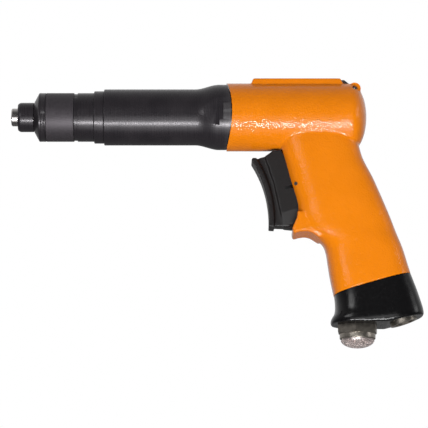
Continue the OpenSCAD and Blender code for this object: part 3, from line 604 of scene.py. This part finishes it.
GRIP_ROWS = [
    [158, -6, 200, -6, 15.9, 2.9], [158.6, -14, 204.6, -13, 16.4, 3.0],
    [159.4, -20, 206, -18.5, 16.7, 3.1], [161.6, -28, 208.4, -26.5, 16.8, 3.1],
    [164.4, -38.5, 214.2, -38, 16.8, 3.1], [168.6, -53, 220.6, -53, 16.8, 3.1],
    [169.2, -61, 224.2, -62, 16.8, 3.1], [172, -68, 227.2, -70, 16.8, 3.0],
    [178.8, -72.4, 228.8, -74, 16.8, 3.0], [183.6, -76.2, 230, -77, 16.8, 3.0],
    [185.8, -81.5, 231.6, -81.5, 16.8, 3.0], [186.8, -88, 233.2, -87, 16.9, 3.0],
    [188.4, -98, 235.2, -93.8, 17.2, 3.1], [191.4, -112, 237.4, -101, 17.6, 3.1]]
BOOT_ROWS = [
    [188.4, -98, 232.2, -86, 17.2, 3.1], [190.6, -107.4, 235.4, -94.6, 17.6, 3.1],
    [191.1, -114.4, 238.9, -104, 17.9, 3.1], [190.4, -118.5, 241.2, -111, 18.2, 3.1],
    [188.4, -122.4, 242.6, -116, 18.6, 3.1], [189.6, -126.4, 242.8, -119.6, 18.3, 3.1],
    [192, -130, 242.4, -124, 16.8, 3.1]]
BOOT_FLOOR = [(150, -124.5), (221, -124.5), (243.4, -118.8), (260, -114)]


def barrel_solid():
    """Cylinder with an elliptical dome at its rear."""
    start, end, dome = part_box("housing")[0].x / MM - 4, 210.5, 9.5
    arc = [(end - dome + dome * math.sin(a), BARREL_R * math.cos(a))
           for a in (math.radians(d) for d in range(0, 88, 3))]
    return solid_of_revolution("barrel", [(start, 0), (start, BARREL_R), *arc, (end, 0)])


def barrel_and_grip():
    """Barrel and grip in one skin, with the crease between them softened."""
    body = join(barrel_solid(), [loft("grip", GRIP_ROWS)])
    remesh(body, 0.62)
    near_joint = lambda p: (p.z < -4 and 154 < p.x < 214
                            and abs(math.hypot(p.y, p.z) - BARREL_R) < 2.2)
    return relax(body, 6, 0.5, near_joint)


def rails_and_lip():
    """Hanger rails, the block under the ears, the ears and the finger lip."""
    hinge, side = HINGE_AT, RAIL_SIDE
    rails = slab([(RAIL_START, 10), (RAIL_START, 19.6), (RAIL_START + 1, RAIL_TOP),
                  (RAIL_END - 1.3, RAIL_TOP), (RAIL_END, 19.6), (RAIL_END, 10)], side)
    block = slab([(hinge.x - 4, 8), (hinge.x - 2.5, hinge.z + 2.2),
                  (hinge.x + 2.5, hinge.z + 2.2), (hinge.x + 3.5, hinge.z),
                  (hinge.x + 3.5, 8)], side)
    ears = rod((hinge.x, -side, hinge.z), (hinge.x, side, hinge.z), EAR_R, 48)
    lip = slab([(169, -58), (168.8, -62), (166, -68.2), (166.2, -71), (166.9, -71.9),
                (170, -70.9), (174, -70.4), (177, -71.2), (182, -74.5), (190, -66)], 12.8)
    return [rails, block, ears, lip]


def trigger_pocket():
    """Space in the grip for the trigger's block."""
    outline = [(-8.5, -22.9), (14.5, -22.9), (14.5, 20.3), (7.3, 20.3), (6.2, 24.6), (-12, 26.2)]
    return place(slab(outline, 6.8), trigger_frame())


def hanger_channel():
    """Groove between the rails and the ears in which the wire lies."""
    hinge, start = HINGE_AT, RAIL_START + 3
    return slab([(start, 19.4), (196, 19.4), (198.6, hinge.z - 3), (hinge.x - 3, hinge.z - 4.4),
                 (hinge.x + 3.4, hinge.z - 4.4), (hinge.x + 9, hinge.z - 3.4),
                 (hinge.x + 9, 40), (start, 40)], 6.2)


def housing_bores():
    """Curved front seam, motor bore, trigger pin, hanger pin and valve chamber."""
    hinge, across = HINGE_AT, 30
    seam = rod((NECK_SEAM_X + 0.1, -40, 0), (NECK_SEAM_X + 0.1, 40, 0), NECK_SEAM_R, 256)
    motor = rod((100, 0, 0), (193, 0, 0), 17.45, 96)
    pin = place(rod((3.2, -across, 1.3), (3.2, across, 1.3), 1.0, 24), trigger_frame())
    pivot = rod((hinge.x, -across, hinge.z), (hinge.x, across, hinge.z), PIVOT_R, 32)
    valve = place(rod((13.5, 0, 0), (38, 0, 0), 6.5, 48), trigger_frame())
    return [seam, motor, pin, pivot, valve]


def rebuild_housing():
    """Orange casting: barrel, grip, rails, ears and lip, with its pocket and bores."""
    body = barrel_and_grip()
    join(body, rails_and_lip())
    remesh(body, 0.55)
    below = half_space(SEAM_AT, SEAM_TILT, above=False)
    cut(body, [trigger_pocket(), hanger_channel(), below])
    remesh(body, 0.45)
    relax(body, 3, 0.5)
    near_lip = lambda p: p.z < -50 and p.x < 188 and p.z > -82 and abs(p.y) > 7.6
    relax(body, 14, 0.5, near_lip)
    lobes = [rod((HINGE_AT.x, a, HINGE_AT.z), (HINGE_AT.x, a + 3.1, HINGE_AT.z), EAR_R, 64)
             for a in (-RAIL_SIDE, RAIL_SIDE - 3.1)]
    cut(body, lobes, "UNION")
    cut(body, housing_bores())
    body.name = "orange_casting"
    smooth(body, 40)
    return finish_piece(body, "housing")


def rebuild_boot():
    """Hollow black cap round the foot of the grip, with its two holes."""
    boot = loft("boot", BOOT_ROWS)
    top = half_space(SEAM_AT, SEAM_TILT, above=True, lift=6)
    floor_line = [(150, -200), *BOOT_FLOOR, (260, -200)]
    cut(boot, [top, slab(floor_line, 60)])
    remesh(boot, 0.5)
    relax(boot, 8, 0.5)
    cavity = loft("cavity", BOOT_ROWS, BOOT_WALL)
    raised = [(x, z + BOOT_WALL) for x, z in BOOT_FLOOR]
    cut(cavity, [slab([(150, -200), *raised, (260, -200)], 60)])
    down = Vector((math.sin(INLET_TILT), 0, -math.cos(INLET_TILT)))
    inlet = rod(INLET_AT - down * 12, INLET_AT + down * 20, 8.05, 64)
    silencer = rod((SILENCER_X, 0, -140), (SILENCER_X, 0, -100), 7.8, 64)
    cut(boot, [cavity, half_space(SEAM_AT, SEAM_TILT, above=True, lift=-0.25),
               inlet, silencer])
    boot.name = "grip_boot"
    smooth(boot, 40)
    return finish_piece(boot, "handle_boot")


# ---- Black neck -----------------------------------------------------------------------

def span(node):
    """Start, end and outer radius of a node turned about X, in millimetres."""
    low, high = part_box(node)
    return low.x / MM, high.x / MM, high.z / MM


def rebuild_gear_housing():
    """Long neck with its flare, two wrench flats and the curved rear seam."""
    x0, _, rim = span("gear_housing")
    neck, flare_x, rim_x, rear_bore = 16.65, x0 + 54, x0 + 68, 15.0
    flare = [(flare_x + 14 * t, neck + (rim - neck) * t * t * (3 - 2 * t), 0)
             for t in (k / 14 for k in range(15))]
    piece = lathe("gear_case", [(x0, SPIGOT_R + 0.05, 0), (x0, neck, 0.5), *flare,
                                (rim_x + 0.6, rim, 0), (rim_x + 9, rim, 0),
                                (rim_x + 9, rear_bore, 0)], 192)
    seam = rod((NECK_SEAM_X, -40, 0), (NECK_SEAM_X, 40, 0), NECK_SEAM_R - 0.35, 256)
    cut(piece, [seam], "INTERSECT")
    cutters = []
    for side in (-1, 1):
        for name, start, end, depth in (("flat", flare_x - 5, rim_x + 0.4, 17.5),
                                        ("step", rim_x + 0.4, rim_x + 2.6, 18.7)):
            across = sorted((side * depth, side * 30))
            cutters.append(box(name, (start, end), across, (-20, 20)))
    cut(piece, cutters)
    finish_piece(smooth(piece, 25), "gear_housing")


def rebuild_coupling_nut():
    """Plain step ring in front of the neck."""
    x0, x1, r = span("coupling_nut")
    bore = SPIGOT_R + 0.05
    nut = lathe("lock_nut", [(x0, bore, 0), (x0, r, 0.45), (x1, r, 0.45), (x1, bore, 0)], 192)
    finish_piece(smooth(nut, 50), "coupling_nut")


def rebuild_clutch_housing():
    """Clutch case: front tube, groove, band and the spigot behind it."""
    x0, x1, r = span("clutch_housing")
    tube_r, bore = 12.0, 10.2
    nut_x = x1 - 4 - 5.9
    band = nut_x - 9.8
    groove = band - 1.9
    case = lathe("clutch_case", [
        (x0, bore, 0), (x0, tube_r, 0.1), (groove, tube_r, 0), (groove, r - 0.55, 0.1),
        (band, r - 0.55, 0), (band, r, 0.3), (nut_x, r, 0.25), (nut_x, SPIGOT_R, 0),
        (x1, SPIGOT_R, 0.2), (x1, bore, 0)], 192)
    finish_piece(smooth(case, 50), "clutch_housing")


def rebuild_clutch_cover():
    """Matt ring with the window over the adjusting slot."""
    x0, x1, r = span("clutch_cover")
    bore = 12.05
    cover = lathe("cover_ring", [(x0, bore, 0), (x0, r, 0.35), (x1, r, 0.35), (x1, bore, 0)], 192)
    cut(cover, [box("window", (x0 + 4.7, x0 + 11.7), (-3.5, 3.5), (5, 25))])
    finish_piece(smooth(cover, 40), "clutch_cover")


def rebuild_nose_cap():
    """Cone in front of the clutch case, with three fine grooves."""
    x0, x1, r = span("nose_cap")
    hole, shoulder, bore = 7.5, x0 + 3.3, 12.0
    rings = []
    for k in range(3):
        at = x0 + 4.4 + 0.8 * k
        rings += [(at, r, 0), (at + 0.06, r - 0.06, 0), (at + 0.14, r - 0.06, 0),
                  (at + 0.2, r, 0)]
    nose = lathe("nose_cone", [(x0, hole, 0), (x0, 8.7, 0.2), (x0 + 3.1, r, 0.35), *rings,
                               (x1, r, 0.25), (x1, bore, 0), (shoulder, bore, 0),
                               (shoulder, hole, 0)], 192)
    finish_piece(smooth(nose, 50), "nose_cap")


def rebuild_chuck_sleeve():
    """Sleeve of the quick-change chuck, stepped inside."""
    x0, x1, r = span("chuck_sleeve")
    front, back, guide = 7.4, 6.6, 5.35
    sleeve = lathe("quick_sleeve", [
        (x0, front, 0), (x0, r - 0.9, 0.3), (x0 + 1.3, r, 0.6), (x1, r, 0.4), (x1, back, 0),
        (x0 + 7.8, back, 0), (x0 + 7.8, guide, 0), (x0 + 5.4, guide, 0), (x0 + 5.4, front, 0)], 144)
    finish_piece(smooth(sleeve, 40), "chuck_sleeve")


# ---- Trigger and hanger pin -------------------------------------------------------------

def finger_flange():
    """Curved plate that the finger pulls, from a low to a high end of one arc."""
    reach, radius, middle, thick = -15.1, 67, 5, 3.2
    low, high, steps, lead = -17.9, 24.0, 40, 1.3
    centre = reach - radius
    sweep = [math.asin((low + (high - low) * k / steps - middle) / radius)
             for k in range(steps + 1)]
    face = [(centre + radius * math.cos(a), middle + radius * math.sin(a)) for a in sweep]
    face[-1] = (face[-1][0] + lead, face[-1][1])
    back = [(centre + (radius + thick) * math.cos(a), middle + (radius + thick) * math.sin(a))
            for a in reversed(sweep)]
    return slab(face + back, 8.2)


def trigger_block():
    """Block that runs in the grip, with its sides cut in two facets at the foot."""
    block = slab([(-10.6, -20.4), (-6.3, -22.5), (-2, -22.5), (9, -18), (9, 20), (2, 20),
                  (0.9, 24.2), (-4, 25), (-9.2, 23.2), (-8.6, 6)], 6.6)
    facets = []
    for side in (-1, 1):
        for y, z, lean in ((6.6, -12, 8), (5.5, -19.6, 38)):
            turn = Matrix.Rotation(math.radians(-side * lean), 4, "X")
            wedge = box("facet", (-40, 40), sorted((0, side * 20)), (-40, 0))
            facets.append(place(wedge, Matrix.Translation((0, side * y, z)) @ turn))
    return cut(block, facets)


def rebuild_trigger():
    """Finger flange with a hollow behind it, the block, and the stop pin's slot."""
    web = slab([(-16.4, -17.9), (-12.1, -19.4), (-7, -21), (-7, 22.6), (-9.6, 23.2),
                (-15.4, 23.4), (-13.2, 15), (-12.6, 5), (-12.8, -6)], 5.5)
    trigger = join(finger_flange(), [web, trigger_block()])
    flat_top = slab([(-24, 26.3), (-12.5, 22.9), (-12.5, 30), (-24, 30)], 20)
    cut(trigger, [flat_top])
    remesh(trigger, 0.3)
    relax(trigger, 3, 0.5)
    valley = lambda p: -15.5 < p.x < -6.5 and abs(p.y) > 4 and -17 < p.z < 22.5
    relax(trigger, 18, 0.5, valley)
    slot = slab([(-3.3, 0.2), (4.4, 0.2), (4.4, 2.4), (-3.3, 2.4)], 20)
    stem = rod((5.4, 0, 0), (20, 0, 0), 2.0, 32)
    cut(trigger, [slot, stem])
    place(trigger, trigger_frame())
    trigger.name = "trigger_lever"
    return finish_piece(smooth(trigger, 30), "trigger")


def rebuild_hanger_pin():
    """Slotted spring pin across the ears."""
    half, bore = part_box("hanger_pin")[1].y / MM, 0.75
    pin = lathe("spring_pin", [(-half, bore, 0), (-half, PIVOT_R, 0.2), (half, PIVOT_R, 0.2),
                               (half, bore, 0)], 48)
    cut(pin, [box("slit", (-half - 1, half + 1), (-0.22, 0.22), (0, 3))])
    turn = Matrix.Rotation(math.radians(90), 4, "Z")
    place(pin, Matrix.Translation(HINGE_AT) @ turn)
    return finish_piece(smooth(pin, 35), "hanger_pin")


# ---- Silencer ------------------------------------------------------------------------------

def silencer_axis():
    """X down along the silencer from the boot's floor."""
    top = Matrix.Translation(Vector((SILENCER_X, 0, SILENCER_TOP)))
    return top @ Matrix.Rotation(math.radians(90), 4, "Y")


def silencer_hexagon():
    """Six-sided head with both ends chamfered."""
    height, corner = 5.2, SILENCER_FLATS / 2 / math.cos(math.radians(30))
    ring = [(corner * math.cos(math.radians(60 * k)), corner * math.sin(math.radians(60 * k)))
            for k in range(6)]
    faces = [tuple(range(6)), tuple(range(11, 5, -1))]
    faces += [(i, (i + 1) % 6, 6 + (i + 1) % 6, 6 + i) for i in range(6)]
    hexagon = new_object("hexagon", [(x, y, z) for x in (0, height) for y, z in ring], faces)
    chamfer = solid_of_revolution("chamfer", [
        (-1, 0), (-1, corner - 0.6), (0.4, corner + 0.2), (3.9, corner + 0.2),
        (height, corner - 1.7), (height + 0.1, corner - 1.8), (height + 0.1, 0)], 96)
    return cut(hexagon, [chamfer], "INTERSECT")


def rebuild_silencer():
    """Hexagon, collar and spigot in one piece, and the mesh dome below them."""
    axis, bore = silencer_axis(), 5.3
    turned = axis @ Matrix.Rotation(math.radians(SILENCER_TURN), 4, "X")
    hexagon = place(silencer_hexagon(), turned)
    collar = lathe("collar", [(4.6, bore, 0), (4.6, 10.5, 0), (8.1, 10.5, 0.5), (8.4, 9.9, 0.1),
                              (7.4, 9.9, 0), (7.0, 9.0, 0), (6.9, bore, 0)], 96)
    spigot = lathe("spigot", [(-12, bore, 0), (-12, 7.45, 0.3), (0.4, 7.45, 0), (0.4, bore, 0)], 64)
    join(hexagon, [place(collar, axis), place(spigot, axis)])
    hexagon.name = "silencer_hexagon"
    finish_piece(smooth(hexagon, 30), "silencer_body")
    weave_dome(axis)


DOME_R, DOME_H, DOME_START = 9.8, 5.2, 8.4
WIRE_R, WIRE_PITCH, WIRE_SIDES, WIRE_STEPS = 0.2, 0.95, 5, 40


def wire_path(line, across):
    """Centre line of one wire, which waves over and under the wires it crosses."""
    offset = line * WIRE_PITCH
    reach = math.sqrt(max(0.0, DOME_R ** 2 - offset ** 2)) - 0.15
    path = []
    for k in range(WIRE_STEPS + 1):
        s = -reach + 2 * reach * k / WIRE_STEPS
        over = math.cos(math.pi * s / WIRE_PITCH) * (1 if (line + across) % 2 else -1)
        u, v = (s, offset) if across else (offset, s)
        d = min(1.0, math.hypot(u, v) / DOME_R)
        drop = math.sqrt(max(0.0, 1 - d * d)) * (DOME_H - 2 * WIRE_R)
        path.append(Vector((DOME_START + drop + 0.14 * over, u, v)))
    return path


def wire_tube(path, base):
    """Points and faces of a tube round a path; base is the number of its first point."""
    verts, n, steps = [], WIRE_SIDES, WIRE_STEPS
    for k, p in enumerate(path):
        along = (path[min(k + 1, steps)] - path[max(k - 1, 0)]).normalized()
        side = along.cross(Vector((1, 0, 0)))
        side = side.normalized() if side.length > 1e-6 else Vector((0, 1, 0))
        up = along.cross(side)
        verts += [p + (side * math.cos(a) + up * math.sin(a)) * WIRE_R
                  for a in (2 * math.pi * i / n for i in range(n))]
    faces = [(base + k * n + i, base + k * n + (i + 1) % n,
              base + (k + 1) * n + (i + 1) % n, base + (k + 1) * n + i)
             for k in range(steps) for i in range(n)]
    faces += [tuple(base + k * n + i for i in range(n)) for k in (0, steps)]
    return verts, faces


def weave_dome(axis):
    """Domed wire mesh: two sets of wires over a closed backing."""
    verts, faces = [], []
    lines = int(DOME_R / WIRE_PITCH)
    for across in (0, 1):
        for line in range(-lines, lines + 1):
            more_verts, more_faces = wire_tube(wire_path(line, across), len(verts))
            verts += more_verts
            faces += more_faces
    mesh = new_object("woven_dome", verts, faces)
    crown = DOME_H - 0.75
    arc = [(DOME_START + crown * math.sin(a), (DOME_R - 0.35) * math.cos(a))
           for a in (math.radians(d) for d in range(0, 90, 6))]
    backing = solid_of_revolution("backing", [(DOME_START - 1, 0), (DOME_START - 1, DOME_R - 0.1),
                                              *arc, (DOME_START + crown, 0)], 64)
    join(mesh, [backing])
    place(mesh, axis)
    finish_piece(smooth(mesh, 60), "silencer_mesh")


def paint_cad():
    """Every CAD node that still shows gets its slot's material."""
    for name, obj in frame["nodes"].items():
        paint(obj, SLOT_OF[name])
        smooth(obj, 30)


make_stage()
paint_cad()
rebuild_housing()
rebuild_boot()
rebuild_gear_housing()
rebuild_coupling_nut()
rebuild_clutch_housing()
rebuild_clutch_cover()
rebuild_nose_cap()
rebuild_chuck_sleeve()
rebuild_trigger()
rebuild_hanger_pin()
rebuild_silencer()

for box in (cad_box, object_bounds()):
    json.dumps([[round(v, 6) for v in corner] for corner in box]) + "\n"
